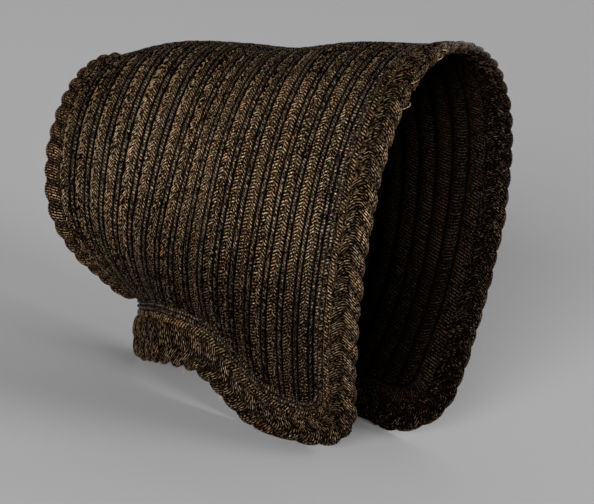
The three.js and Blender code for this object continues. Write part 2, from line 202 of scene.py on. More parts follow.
def smoothstep(x, low, high):
    """0 below low, 1 above high and an S-shaped cubic between them."""
    t = np.clip((x - low) / (high - low), 0, 1)
    return t * t * (3 - 2 * t)


def shell(u, share):
    """Point on the inner face of the wall."""
    return read_block(block, u, share)


def shell_out(u, share):
    """Outward normal of the wall."""
    return unit(read_block(block_out, u, share))


def hoop_length(u):
    """Length of the left half of a hoop, read between the table's own."""
    return np.interp(u, u_lines, hoop_lengths)


print("top of the brim:", shell(1, 0).round(1), "its normal:", shell_out(1, 0).round(2))

# %% Ends of the hoops
# How fast the neck edge runs forwards with u at the cheek, in mm
cheek_rate = float(np.linalg.norm(shell(1, 1) - shell(0.9, 1)) / 0.1)


def end_share(u):
    """How far down its hoop a row goes: to the end, but for the front rows, which stop on a
    round corner at the cheek: the corner's radius less the height of a circle."""
    inset = np.maximum(CHEEK_ROUND - (1 - np.asarray(u, float)) * cheek_rate, 0)
    return 1 - (CHEEK_ROUND - np.sqrt(np.maximum(CHEEK_ROUND**2 - inset**2, 0))) / hoop_length(u)


def neck_edge(u):
    """Point where the hoops end."""
    return shell(u, end_share(u))


BAND_STEP = 0.004


def band_out(u):
    """Outward normal of the band that hangs from the neck edge: level, and square to the edge.
    Round the cheek corner it turns into the shell's own normal."""
    run = neck_edge(np.minimum(u + BAND_STEP, 1)) - neck_edge(u - BAND_STEP)
    level = unit(np.cross([0.0, 0.0, 1.0], run))
    turn = smoothstep((1 - u) * cheek_rate, 0, 2 * CHEEK_ROUND)[..., None]
    return unit(shell_out(u, end_share(u)) * (1 - turn) + level * turn)


def mitre(out_a, out_b):
    """Direction half way between two normals, as long as the mitre of a wall 1 mm thick."""
    middle = unit(out_a + out_b)
    return middle / np.sum(middle * out_a, axis=-1, keepdims=True)


print("cheek corner:", neck_edge(np.array(1.0)).round(1), "nape:", neck_edge(np.array(0.0)).round(1))

# %% [markdown]
# From worn to at rest
#
# A stiff bonnet set down by itself leans back on its nape and its two cheek corners. The frame
# holds it that way. The lean could be typed in, but it would go wrong with the next change of
# the solids, so it is found from the frame: a row near the front is turned step by step until
# it is as deep as its solid, and is then shifted onto it.

# %% Find the lean and the shift
def turned(points, lean):
    """Points turned about the x axis by the lean angle."""
    x, y, z = points[..., 0], points[..., 1], points[..., 2]
    c, s = math.cos(lean), math.sin(lean)
    return np.stack([x, y * c - z * s, y * s + z * c], axis=-1)


def row_outline(row):
    """Inner and outer corners of a row's solid, at the places where the solid has them."""
    t = np.arange(-15, 16) / 15
    found = []
    for u in ((row - 1) / ROWS, row / ROWS):
        share = t * (end_share(u) - SEAM / hoop_length(u))
        found.append(shell(u, share))
        found.append(shell(u, share) + shell_out(u, share) * WALL)
    return np.concatenate(found)


LEAN_ROW = 15
brim_low, brim_high = (np.array(c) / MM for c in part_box("plait_row_%02d" % LEAN_ROW))
outline = row_outline(LEAN_ROW)
lean_low, lean_high, HALVINGS = -0.7, -0.1, 40
for _ in range(HALVINGS):
    LEAN = (lean_low + lean_high) / 2
    depth = np.ptp(turned(outline, LEAN)[:, 1])
    if depth > brim_high[1] - brim_low[1]:
        lean_low = LEAN
    else:
        lean_high = LEAN
leaned = turned(outline, LEAN)
SHIFT = np.array([0.0, brim_high[1] - leaned[:, 1].max(), brim_high[2] - leaned[:, 2].max()])
print("lean", round(math.degrees(LEAN), 2), "degrees, shift", SHIFT.round(2), "mm")


def at_rest(points):
    """Worn place in mm to its place at rest in metres."""
    return (turned(np.asarray(points, float), LEAN) + SHIFT) * MM


# %% [markdown]
# The camera
#
# The bonnet is seen from its right and a little from the front, level with the wearer's ear, so
# the far inside of the brim shows. A camera could be kept on it by a Track To constraint, but
# that gives no roll. Here its axes are worked out in the worn frame, where the angles are easy
# to read, and then leaned with the bonnet. A long lens two metres away keeps the brim from
# looming.

# %% Place the camera
VIEW_TURN, VIEW_RISE, VIEW_ROLL = math.radians(26.28), math.radians(1.78), math.radians(-0.21)
DISTANCE, PIXELS_PER_MM = 2000.0, 1.662
AIM_POINT, AIM_RIGHT, AIM_UP = np.array([0, -5.28, 4.51]), -82.92, -23.36
PICTURE_WIDTH, SENSOR_WIDTH = 594, 36.0

level = math.cos(VIEW_RISE)
view_back = np.array([-math.cos(VIEW_TURN) * level, -math.sin(VIEW_TURN) * level, math.sin(VIEW_RISE)])
view_right = np.array([math.sin(VIEW_TURN), -math.cos(VIEW_TURN), 0.0])
view_up = np.cross(view_back, view_right)
eye = AIM_POINT + view_back * DISTANCE - view_right * AIM_RIGHT - view_up * AIM_UP
right = view_right * math.cos(VIEW_ROLL) - view_up * math.sin(VIEW_ROLL)
above = view_right * math.sin(VIEW_ROLL) + view_up * math.cos(VIEW_ROLL)
cam_right, cam_up, cam_back = (turned(v, LEAN) for v in (right, above, view_back))
cam_place = at_rest(eye)

camera_data = bpy.data.cameras.new("camera")
camera_data.sensor_width = SENSOR_WIDTH
camera_data.lens = SENSOR_WIDTH * PIXELS_PER_MM * DISTANCE / PICTURE_WIDTH
camera_data.clip_end = 100
camera = bpy.data.objects.new("camera", camera_data)
bpy.context.collection.objects.link(camera)
axes = np.eye(4)
axes[:3, 0], axes[:3, 1], axes[:3, 2], axes[:3, 3] = cam_right, cam_up, cam_back, cam_place
camera.matrix_world = Matrix(axes.tolist())
bpy.context.scene.camera = camera
print("lens", round(camera_data.lens, 1), "mm, camera at", cam_place.round(3))

# %% [markdown]
# Skins
#
# Every piece is a closed skin over a grid of points: rings of points across the plait, one
# after another along it. Blender's curve bevel could carry a section along a path, but it
# can't give each straw its own height, so the grid is worked out here. Each point also keeps
# two small records for the finish: lay, its place along and across its straw, and tone, how
# light, how grey and how open to the light it is.

# %% Put a grid into a mesh
totals = []


def grid_faces(rings, across, closed):
    """Four-cornered faces between neighbouring rings. The section always closes on itself; on
    a closed piece the last ring meets the first."""
    ring = np.arange(rings if closed else rings - 1)[:, None]
    point = np.arange(across)[None, :]
    here, there = ring * across, (ring + 1) % rings * across
    beside = (point + 1) % across
    return np.stack([here + point, there + point, there + beside, here + beside], axis=-1).reshape(-1, 4)


def make_piece(name, points, lay, tone, closed):
    """Closed skin over points (rings, across, 3) in worn mm. An open strip gets a cap at each
    end: a fan to the middle of its end section. Faces are turned round if their volume, the
    sum of the tetrahedra under them, comes out negative. Soft straw is pressed flat where it
    would go under the surface."""
    rings, across = points.shape[:2]
    verts = at_rest(points).reshape(-1, 3)
    verts[:, 2] = np.maximum(verts[:, 2], 0)
    lay, tone = lay.reshape(-1, 3), tone.reshape(-1, 3)
    quads = grid_faces(rings, across, closed)
    fans = np.empty((0, 3), int)
    if not closed:
        ends = [np.arange(across), (rings - 1) * across + np.arange(across)[::-1]]
        centres = len(verts) + np.arange(2)
        verts = np.concatenate([verts, [verts[e].mean(0) for e in ends]])
        lay = np.concatenate([lay, [lay[e].mean(0) for e in ends]])
        tone = np.concatenate([tone, [tone[e].mean(0) for e in ends]])
        fans = np.concatenate([
            np.stack([e, np.roll(e, -1), np.full(across, c)], axis=-1) for e, c in zip(ends, centres)
        ])
    a, b, c, d = (verts[quads[:, k]] for k in range(4))
    volume = np.einsum("ij,ij->", a, np.cross(b, c)) + np.einsum("ij,ij->", a, np.cross(c, d))
    if volume < 0:
        quads, fans = quads[:, ::-1], fans[:, ::-1]
    corners = np.concatenate([quads.ravel(), fans.ravel()]).astype(np.int32)
    sizes = np.concatenate([np.full(len(quads), 4), np.full(len(fans), 3)]).astype(np.int32)
    mesh = bpy.data.meshes.new(name)
    mesh.vertices.add(len(verts))
    mesh.vertices.foreach_set("co", verts.astype(np.float32).ravel())
    mesh.loops.add(len(corners))
    mesh.loops.foreach_set("vertex_index", corners)
    mesh.polygons.add(len(sizes))
    mesh.polygons.foreach_set("loop_start", (np.cumsum(sizes) - sizes).astype(np.int32))
    mesh.polygons.foreach_set("use_smooth", np.ones(len(sizes), bool))
    mesh.update(calc_edges=True)
    for key, values in (("lay", lay), ("tone", tone)):
        record = mesh.attributes.new(key, "FLOAT_VECTOR", "POINT")
        record.data.foreach_set("vector", values.astype(np.float32).ravel())
    piece = bpy.data.objects.new(name, mesh)
    bpy.context.collection.objects.link(piece)
    triangles = 2 * len(quads) + len(fans)
    totals.append(triangles)
    return piece, triangles


print("faces round a closed strip of 6 rings of 4 points:", len(grid_faces(6, 4, True)))

# %% [markdown]
# One row of plait, seen close
#
# The plait is flat: two ranks of straws lean towards each other in a long row of Vs, about 2 mm
# apart, with dark gaps between the straws. Along its front edge lies a greyish cord, twisted, 3 mm
# wide, with a deep line of shadow on either side. Inside the bonnet a row shows only its back:
# a low, round ridge with slanting stitches.
#
# The trick is in the grid. Its lines follow the straws, so that three points across a straw are
# enough for a gap, a sharp side and a rounded back, and none of the straws comes out ragged.

# %% Section of a row
STRAW_PITCH = 2.0
STEPS_PER_STRAW = 3
straw_profile = np.array([-0.95, 0.80, 0.10])
straw_open = np.array([0.00, 1.00, 0.34])

# Across a row from its back seam: place, height over the wall, share of the straw's relief,
# rank (0 and 1 the two ranks of straws, 2 the cord, 3 the inside) and openness to light
row_section = np.array([
    [-0.012, -1.40, 0.0, 0, 0.00],
    [0.028, -0.70, 0.2, 0, 0.04],
    [0.070, 0.00, 0.7, 0, 0.75],
    [0.140, 0.16, 1.0, 0, 1.00],
    [0.230, 0.16, 1.0, 0, 1.00],
    [0.300, 0.02, 1.0, 0, 0.95],
    [0.340, -0.26, 0.5, 0, 0.55],
    [0.370, -0.22, 0.5, 1, 0.60],
    [0.430, 0.06, 1.0, 1, 1.00],
    [0.510, 0.16, 1.0, 1, 1.00],
    [0.585, 0.06, 1.0, 1, 0.95],
    [0.628, -0.40, 0.4, 1, 0.22],
    [0.680, -1.35, 0.0, 2, 0.00],
    [0.728, -0.30, 0.3, 2, 0.16],
    [0.780, 0.46, 0.7, 2, 0.85],
    [0.850, 0.66, 0.8, 2, 1.00],
    [0.910, 0.40, 0.7, 2, 0.85],
    [0.955, -0.35, 0.3, 2, 0.16],
    [1.012, -1.40, 0.0, 2, 0.00],
])
row_lining = np.array([
    [1.012, 0.30, 0.0, 3, 0.02],
    [0.940, -0.10, 0.6, 3, 0.40],
    [0.830, -0.70, 1.0, 3, 0.90],
    [0.640, -1.05, 1.0, 3, 1.00],
    [0.440, -1.05, 1.0, 3, 1.00],
    [0.220, -0.70, 1.0, 3, 0.80],
    [0.080, -0.05, 0.5, 3, 0.30],
    [-0.012, 0.35, 0.0, 3, 0.02],
])


# Where the point of the V and the start of the cord lie, the cord's width, as shares of the
# row, and the lean of the cord's and the lining's stitches in mm
V_POINT, CORD_FROM, CORD_WIDTH, CORD_LEAN, LINING_LEAN = 0.35, 0.68, 0.32, -2.6, 3.4


def slant(section, spread):
    """How far along the row a straw has moved at each place of the section: up one side of the
    V and down the other, then steadily along the cord, and slanting across the lining."""
    place, rank = section[:, 0], section[:, 3]
    v_shape = spread * (1 - np.abs(place - V_POINT) / V_POINT)
    cord = CORD_LEAN * (place - CORD_FROM) / CORD_WIDTH
    lining = LINING_LEAN * (place - 0.5)
    return np.select([rank < 2, rank == 2], [v_shape, cord], lining)


print("points across a row:", len(row_section), "outside and", len(row_lining), "inside")

# %% [markdown]
# Straw by straw
#
# No two straws are alike. Each is given its own height and its own lightness, drawn from a
# seeded list, and slow waves along the row make the plait lighter and warmer in some stretches
# than in others, as old straw fades unevenly. A bump on a smooth strip would be lighter to
# draw, but the straws' shadows and ragged outline would be missing, so their relief is real.

# %% Relief and tone of a woven grid
# Lightness: its middle value, and its spread from straw to straw, along the row and row to row
STRAW_LIGHT, STRAW_SPREAD, WAVE_SPREAD, ROW_SPREAD = 0.46, 0.42, 0.12, 0.16
BRIGHT_STRAW, CORD_DARKER = 0.16, 0.14
# Greyness of the straw and the cord, and its spread from straw to straw and row to row
STRAW_GREY, CORD_GREY, GREY_SPREAD, ROW_GREY_SPREAD = 0.12, 0.60, 0.25, 0.30
# Share of the relief left on the cord and inside
CORD_RELIEF, INSIDE_RELIEF = 0.55, 0.9
# Height of a straw in mm: the least, what is drawn on top of it, and a factor for both
LEAST_HEIGHT, DRAWN_HEIGHT, HEIGHT_FACTOR = 0.35, 0.3, 1.1
# Grid steps to a radian of the two waves along the row, and the share of straws that are plain
SLOW_WAVE, QUICK_WAVE, PLAIN_STRAWS = 61, 23, 0.90


def weave(section, lining, rings, seed):
    """Height over the surface, tone and which places are inside, for a grid of rings by section
    places. The height is the section's own height plus the straw profile, scaled for each straw.
    Tone is a random lightness for each straw plus two slow sine waves, times how open the place is."""
    table = np.concatenate([section, lining])
    local = np.random.default_rng(seed)
    step = np.arange(rings)
    straw = step // STEPS_PER_STRAW
    rank = table[:, 3].astype(int)
    draw = local.random((straw.max() + 1, 4, 2))
    own = draw[straw][:, rank]
    row_light, row_grey = np.array([ROW_SPREAD, ROW_GREY_SPREAD]) * (local.random(2) - 0.5)
    profile = straw_profile[step % STEPS_PER_STRAW][:, None]
    opened = straw_open[step % STEPS_PER_STRAW][:, None]
    relief = table[:, 2][None]
    inside, is_cord = (rank == 3)[None], (rank == 2)[None]
    soft = np.where(is_cord, CORD_RELIEF, np.where(inside, INSIDE_RELIEF, 1.0))
    tall = LEAST_HEIGHT + DRAWN_HEIGHT * own[..., 0]
    lifted = table[:, 1][None] + relief * soft * profile * tall * HEIGHT_FACTOR
    phase = local.random(3) * 6.28
    waves = 0.5 * np.sin(step / SLOW_WAVE + phase[0]) + 0.5 * np.sin(step / QUICK_WAVE + phase[1])
    bright = STRAW_LIGHT + row_light + STRAW_SPREAD * (own[..., 1] - 0.5) + WAVE_SPREAD * waves[:, None]
    bright = bright + BRIGHT_STRAW * (own[..., 1] > PLAIN_STRAWS) - CORD_DARKER * is_cord
    # Openness to light: low in the seams and in the gaps and sides of the straws, where it paints shade
    opening = table[:, 4][None] * (1 - relief * (1 - opened))
    greyness = np.where(is_cord, CORD_GREY, STRAW_GREY) + row_grey + GREY_SPREAD * (own[..., 0] - 0.5)
    tone = np.stack(np.broadcast_arrays(bright, greyness, opening), axis=-1)
    return lifted, tone, inside


def lay_record(rings, table, width, seed):
    """Place along the row, place across it in mm, and a number of the row's own."""
    along = np.arange(rings)[:, None] * STRAW_PITCH / STEPS_PER_STRAW
    across = table[:, 0][None] * width
    own = np.full((1, 1), seed * 7.31)
    return np.stack(np.broadcast_arrays(along, across, own), axis=-1)


print("rings in 100 mm of plait:", int(100 / STRAW_PITCH) * STEPS_PER_STRAW)

# %% [markdown]
# The seventeen hoops
#
# On the real bonnet the hoops are one length of plait, turned back at the neck edge. Each is
# made here as a strip of its own over its solid, from one neck edge over the head to the other.
# One strip repeated by a modifier would do for a straight plait, but every hoop has its own
# length and bend, so each is worked out from the shell.

# %% Sew the hoops
# Lean of the Vs in mm at the back of the crown, and how much less it is at the brim
V_LEAN, V_LEAN_LOST = 5.0, 2.6
# Openness that is left inside, a painted shade, and what the painted shade on top and along the neck takes
# from lightness and openness
INSIDE_OPEN, SHADE_DARKER, SHADE_CLOSER = 0.25, 0.38, 0.30
# Shares of a half hoop: the end part where the slant dies out, where the mitre begins, and
# where the painted shade starts to ease, is least, starts to grow and is full again
SLANT_END, MITRE_FROM = 0.045, 0.985
SHADE_EASES_FROM, SHADE_LEAST_FROM, SHADE_GROWS_FROM, SHADE_FULL_FROM = 0.04, 0.36, 0.56, 0.88


def hoop_row(row):
    """Strip over the shell: the section runs from u of the back seam to u of the front seam,
    and the grid lines are moved along the hoop by the slant, which fades out at both ends. The
    painted shade is heaviest on top and along the neck, and least half way down each side."""
    table = np.concatenate([row_section, row_lining])
    u = (row - 1 + table[:, 0]) / ROWS
    ends = end_share(u)
    length = hoop_length((row - 0.5) / ROWS) * 2
    rings = int(length / STRAW_PITCH) * STEPS_PER_STRAW + 1
    spread = V_LEAN - V_LEAN_LOST * smoothstep(row, 5, 15)
    t = np.linspace(-1, 1, rings)[:, None]
    fade = smoothstep(1 - np.abs(t), 0.0, SLANT_END)
    moved = t + slant(table, spread)[None] * fade * 2 / length
    share = moved * ends[None]
    lifted, tone, inside = weave(row_section, row_lining, rings, 100 + row)
    width = TOP_LENGTH / ROWS
    height = np.where(inside, 0.0, WALL) + lifted
    out = shell_out(u[None] + 0 * share, share)
    edge_out = mitre(shell_out(u, ends), band_out(u))[None]
    edge_out = np.where(share[..., None] < 0, edge_out * np.array([-1.0, 1.0, 1.0]), edge_out)
    near_end = smoothstep(np.abs(moved), MITRE_FROM, 1.0)[..., None]
    lift = out * (1 - near_end) + edge_out * near_end
    points = shell(u[None] + 0 * share, share) + lift * height[..., None]
    # Painted shade inside the bonnet: the lining is made far less open to the light
    tone[..., 2] *= np.where(inside, INSIDE_OPEN, 1.0)
    # Painted shade: the straw is made darker and closer on top, along the neck and on the rows near the
    # tip; faded marks the band half way down each side that keeps the most light
    down = np.abs(share)
    faded = smoothstep(down, SHADE_EASES_FROM, SHADE_LEAST_FROM) * (1 - smoothstep(down, SHADE_GROWS_FROM, SHADE_FULL_FROM))
    painted_shade = 1 - faded * smoothstep(row, -1.5, 5.0)
    tone[..., 0] -= SHADE_DARKER * painted_shade
    tone[..., 2] *= 1 - SHADE_CLOSER * painted_shade
    return make_piece("straw_row_%02d" % row, points, lay_record(rings, table, width, row), tone, False)


for row in range(1, ROWS + 1):
    piece, count = hoop_row(row)
    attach(piece, "root")
    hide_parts("plait_row_%02d" % row)
print("rows:", ROWS, "triangles of the last:", count, "of all:", sum(totals))

# %% [markdown]
# The path of the opening
#
# The edge plait and the scalloped braid both follow the whole opening: over the face, round
# each cheek corner and back along the neck to the nape. A Bezier curve drawn by eye would
# leave gaps at the corners, so the path is read from the shell's own edge, once, as points with
# a normal out of the shell and a direction outwards from the edge.

# %% Path round the opening
RIM_POINTS, CORNER_POINTS, NECK_POINTS, NAPE_POINTS = 400, 60, 400, 40
NAPE_PART = 0.1


def opening_half():
    """Left half of the opening from the top of the face to the middle of the nape. place is 0
    at the top, 1 at the start of the cheek corner, 2 at its end and 3 at the nape. The nape,
    its last NAPE_PART, is a parabola that comes out level across the back."""
    rim = np.linspace(0, 1, RIM_POINTS, endpoint=False)
    rim_share = end_share(1.0) * rim
    rim_point, rim_out = shell(1.0, rim_share), shell_out(1.0, rim_share)
    corner_end = 1 - CHEEK_ROUND / cheek_rate
    turn = np.linspace(0, 1, CORNER_POINTS)
    corner_u = 1 - (1 - corner_end) * (1 - np.cos(turn * np.pi / 2))
    neck = np.linspace(0, 1, NECK_POINTS + 1)[1:]
    edge_u = np.concatenate([corner_u, corner_end * (1 - neck)])
    edge_place = np.concatenate([1 + turn, 2 + (1 - NAPE_PART) * neck])
    edge_point, edge_out = neck_edge(edge_u), band_out(edge_u)
    edge_lift = mitre(edge_out, shell_out(edge_u, end_share(edge_u)))
    side_point, side_out = edge_point[-1], edge_out[-1]
    share = np.linspace(1, 0, NAPE_POINTS + 1)[1:-1]
    rise = side_out[0] / side_out[1] * side_point[0] * (1 - share**2) / 2
    level = np.full_like(share, side_point[2])
    nape_point = np.stack([side_point[0] * share, side_point[1] + rise, level], axis=-1)
    nape_out = unit(np.stack([side_out[0] * share, np.full_like(share, side_out[1]), 0 * share], -1))
    nape_place = 3 - NAPE_PART * share
    place = np.concatenate([rim, edge_place, nape_place])
    point = np.concatenate([rim_point, edge_point, nape_point])
    out = np.concatenate([rim_out, edge_out, nape_out])
    lift = np.concatenate([rim_out, edge_lift, nape_out])
    return place, point, out, lift


def opening_loop():
    """Both halves as one closed loop, with the way outwards along the surface: the run of the
    loop crossed with the normal."""
    place, point, out, lift = opening_half()
    flip = np.array([-1.0, 1.0, 1.0])
    place = np.concatenate([place, place[:0:-1]])
    point = np.concatenate([point, point[:0:-1] * flip])
    out = np.concatenate([out, out[:0:-1] * flip])
    lift = np.concatenate([lift, lift[:0:-1] * flip])
    run = np.roll(point, -1, axis=0) - np.roll(point, 1, axis=0)
    return place, point, out, lift, unit(np.cross(run, out))


loop_place, loop_point, loop_out, loop_lift, loop_away = opening_loop()


print("points round the opening:", len(loop_place))


# %% Read the path by length
class LoopLine:
    """The opening's path, read by the length s along a line that lies offset outwards from it.
    s may run past the end."""

    def __init__(self, offset):
        """Adds up the steps from point to point of the offset line."""
        line = loop_point + loop_away * offset
        step = np.linalg.norm(np.roll(line, -1, axis=0) - line, axis=1)
        self.run = np.concatenate([[0], np.cumsum(step)])
        self.length = float(self.run[-1])

    def read(self, values, s):
        """Values at the length s, each the mean of its two neighbours by nearness."""
        closed = np.concatenate([values, values[:1]])
        s = np.mod(s, self.length)
        if values.ndim == 1:
            return np.interp(s, self.run, closed)
        return np.stack([np.interp(s, self.run, closed[:, k]) for k in range(3)], axis=-1)

    def at(self, s):
        """Place number, point, normal, mitre and outward direction at the length s."""
        place = self.read(loop_place, s)
        point = self.read(loop_point, s)
        out = unit(self.read(loop_out, s))
        away = unit(self.read(loop_away, s))
        return place, point, out, self.read(loop_lift, s), away


EDGE_WIDTH = 11.5
MIDDLE_OF_BRAID = 7.0
braid_line = LoopLine(EDGE_WIDTH + MIDDLE_OF_BRAID)
print("length round the opening:", round(braid_line.length), "mm")

# %% [markdown]
# The edge plait
#
# Inside the scalloped braid lies one more plait. It has a cord on each side of a single rank of
# slanting straws, and it covers the ends of the hoops along the neck. It is made as the hoops
# are, but as a closed strip that follows the path, with a section of its own.

# %% Section of the edge plait
# The same five columns as for a row, from the inner side outwards
edge_section = np.array([
    [-0.030, -1.20, 0.0, 2, 0.02],
    [0.035, -0.20, 0.4, 2, 0.45],
    [0.110, 0.55, 0.8, 2, 1.00],
    [0.180, 0.60, 0.8, 2, 1.00],
    [0.240, 0.10, 0.4, 2, 0.60],
    [0.270, -1.10, 0.0, 2, 0.02],
    [0.305, 0.10, 0.4, 2, 0.60],
    [0.370, 0.60, 0.8, 2, 1.00],
    [0.435, 0.55, 0.8, 2, 1.00],
    [0.490, 0.00, 0.4, 2, 0.60],
    [0.520, -1.15, 0.0, 0, 0.02],
    [0.570, -0.10, 0.6, 0, 0.70],
    [0.660, 0.15, 1.0, 0, 1.00],
    [0.760, 0.15, 1.0, 0, 1.00],
    [0.860, 0.10, 1.0, 0, 1.00],
    [0.940, -0.15, 0.5, 0, 0.60],
    [1.020, -0.90, 0.0, 0, 0.02],
])
edge_lining = np.array([
    [1.020, 0.30, 0.0, 3, 0.06],
    [0.880, -0.20, 0.8, 3, 0.80],
    [0.700, -0.45, 1.0, 3, 1.00],
    [0.500, -0.50, 1.0, 3, 1.00],
    [0.300, -0.40, 1.0, 3, 0.90],
    [0.120, -0.05, 0.6, 3, 0.60],
    [-0.030, 0.30, 0.0, 3, 0.06],
])
print("points across the edge plait:", len(edge_section), "outside and", len(edge_lining), "inside")


# %% Lay the edge plait
# Where the first cord ends and the second and the straws begin, and their leans in mm
FIRST_CORD_TO, SECOND_CORD_FROM, STRAWS_FROM = 0.26, 0.27, 0.52
EDGE_CORD_LEAN, EDGE_STRAW_LEAN, EDGE_LINING_LEAN = 5.0, -5.5, 4.0


def edge_slant(place, rank):
    """Both cords twist the same way, and the straws between them and the braid slant back."""
    cords = EDGE_CORD_LEAN * (place - np.where(place < FIRST_CORD_TO, 0, SECOND_CORD_FROM))
    straws = EDGE_STRAW_LEAN * (place - STRAWS_FROM)
    lining = EDGE_LINING_LEAN * (place - 0.5)
    return np.select([rank == 2, rank == 0], [cords, straws], lining)


# Painted shade round the neck: how much darker and closer it makes the straw; openness left inside the edge
# plait, also a painted shade; and the share of the plait's width that follows the mitre
NECK_DARKER, NECK_CLOSER, EDGE_INSIDE_OPEN, MITRE_TO = 0.12, 0.10, 0.34, 0.12
CHEEK_FROM, CHEEK_TO, NAPE_FROM, NAPE_TO = 0.8, 1.4, 2.1, 2.5


def neck_shade(tone, place):
    """Painted shade: darker and closer from the cheek corner on, where the band faces down, away
    from the lamps. The puffed nape stands out to the light, so most of that shade is lifted."""
    shade_share = smoothstep(place, CHEEK_FROM, CHEEK_TO) * (1 - 0.7 * smoothstep(place, NAPE_FROM, NAPE_TO))
    shade_share = shade_share[..., None]
    return tone * (1 - shade_share * [0, 0, NECK_CLOSER]) - shade_share * [NECK_DARKER, 0, 0]


def edge_plait():
    """Closed strip round the opening: points go outwards from the edge by their share of the
    plait's width, and up along the normal. At the inner side they follow the mitre."""
    table = np.concatenate([edge_section, edge_lining])
    line = LoopLine(EDGE_WIDTH)
    rings = 2 * round(line.length / STRAW_PITCH / 2) * STEPS_PER_STRAW
    s = np.arange(rings)[:, None] * line.length / rings + edge_slant(table[:, 0], table[:, 3])[None]
    place, point, out, lift, away = line.at(s)
    lifted, tone, inside = weave(edge_section, edge_lining, rings, 300)
    inner = np.clip(1 - table[:, 0] / MITRE_TO, 0, 1)[None, :, None]
    height = (np.where(inside, 0.0, WALL) + lifted)[..., None]
    offset = (0.1 + (EDGE_WIDTH - 0.2) * table[:, 0])[None, :, None]
    points = point + away * offset + (lift * inner + out * (1 - inner)) * height
    # Painted shade inside the edge plait: its lining is made less open to the light
    tone[..., 2] *= np.where(inside, EDGE_INSIDE_OPEN, 1.0)
    # Painted shade round the neck
    tone = neck_shade(tone, place)
    return make_piece("straw_edge_plait", points, lay_record(rings, table, EDGE_WIDTH, 31), tone, True)


edge_piece, count = edge_plait()
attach(edge_piece, "root")
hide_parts("edge_plait")
print("edge plait triangles:", count)

# %% [markdown]
# Thick braids
#
# The braid round the opening is plaited from fat strands, each a bundle of fine straws. They
# come to its edge, fold over it and go back, so the edge has a lobe every 12 mm, and along the
# middle they meet in steep Vs. A curve with a bevel could carry a round section along the
# opening, but it can't plait, so the strands are in the grid again: its lines run with them.

# %% A plaited braid along any closed line
def zigzag(angle):
    """Triangle wave of the angle: 0 at the outer edge, 1 in the middle of the face, 0 at the
    inner edge and -1 in the middle of the back."""
    turn = np.mod(angle / (np.pi / 2), 4)
    return np.select([turn < 1, turn < 3], [turn, 2 - turn], turn - 4)


# Fine straws in a strand, mm of braid to a lobe, power of a strand's swelling, and depth and
# half width of the valley where the strands meet
STRAWS_IN_STRAND, LOBE_PITCH, SWELLING, VALLEY, VALLEY_HALF = 8, 12.4, 0.6, 0.6, 0.35
# Lightness: its middle value, its spread from straw to straw and strand to strand, and how
# much lighter the lightest straws are
ROPE_LIGHT, ROPE_STRAW_SPREAD, STRAND_SPREAD, ROPE_BRIGHT_STRAW = 0.42, 0.28, 0.26, 0.12
# Least openness, where a strand is lowest, and greyness from the least to the greyest strand
STRAND_OPEN, STRAND_GREY, STRAND_GREY_SPREAD = 0.22, 0.04, 0.40


def thick_braid(line_length, frame_at, lean, across, seed, cut, shade):
    """Points of a braid round a closed line. A strand's swelling is half a sine wave raised to
    the power 0.6, and the strands of the outer half lie half a lobe further on than those of
    the inner half. Each strand is cut into fine straws. frame_at(s, angle) gives the middle,
    the section's own outward direction, its radius and how deep the lobes are cut; cut is the
    straws' own relief in mm. shade is a painted shade on the inner side of the braid, which
    the lamps hardly reach: it makes the straw there darker and closer."""
    lobes = 2 * round(line_length / LOBE_PITCH / 2)
    steps = STRAWS_IN_STRAND * STEPS_PER_STRAW
    rings = lobes * steps
    step = np.arange(rings)
    pitch = line_length / lobes
    angle = (np.arange(across) + 0.5) / across * 2 * np.pi
    inner = np.cos(angle) < 0
    s = (step * pitch / steps)[:, None] + lean * zigzag(angle)[None]
    moved = step[:, None] + np.where(inner, steps // 2, 0)[None]
    swell = np.sin(np.pi * (moved % steps + 0.5) / steps) ** SWELLING
    local = np.random.default_rng(seed)
    own = local.random((rings // STEPS_PER_STRAW, 2, 2))[step // STEPS_PER_STRAW][:, inner.astype(int)]
    strand = local.random((lobes + 1, 2, 2))[moved // steps, inner.astype(int)[None] + 0 * moved]
    profile = straw_profile[step % STEPS_PER_STRAW][:, None] * cut * (0.7 + 0.6 * own[..., 0])
    middle, direction, radius, notch = frame_at(s, angle[None])
    valley = VALLEY * np.clip(1 - np.abs(np.cos(angle)) / VALLEY_HALF, 0, 1)[None]
    grow = radius - notch * ((1 - swell) + 0.35 * (strand[..., 0] - 0.5)) - valley + profile
    points = middle + direction * grow[..., None]
    # Painted shade where a strand is lowest and in the valley between the strands: the straw there is less
    # open to the light
    opened = (STRAND_OPEN + (1 - STRAND_OPEN) * swell) * straw_open[step % STEPS_PER_STRAW][:, None]
    opened = opened * (1 - 0.5 * valley)
    bright = ROPE_LIGHT + ROPE_STRAW_SPREAD * (own[..., 1] - 0.5) + ROPE_BRIGHT_STRAW * (own[..., 1] > 0.9)
    bright = bright + STRAND_SPREAD * (strand[..., 1] - 0.5)
    # Painted shade on the braid's inner side, which the lamps hardly reach
    inner_side = smoothstep(-np.sin(angle), -0.2, 0.6)
    bright = bright - shade * inner_side
    opened = opened * (1 - 1.1 * shade * inner_side)
    grey = STRAND_GREY + STRAND_GREY_SPREAD * strand[..., 0] + 0 * bright
    tone = np.stack([bright, grey, opened], axis=-1)
    along = (step * pitch / steps)[:, None] + 0 * bright
    lay = np.stack([along, angle[None] * 4.0 + 0 * bright, 0 * bright + seed], axis=-1)
    print("lobes:", lobes, "of", round(pitch, 1), "mm")
    return points, lay, tone


# %% [markdown]
# The scalloped braid
#
# It starts under the edge plait and stands out past it, 15.5 mm wide over the face and 24 mm
# where it puffs out at the nape. There the strands are also fatter and their lobes deeper.
# It could be one width all round, but then the nape would lose its puffs.

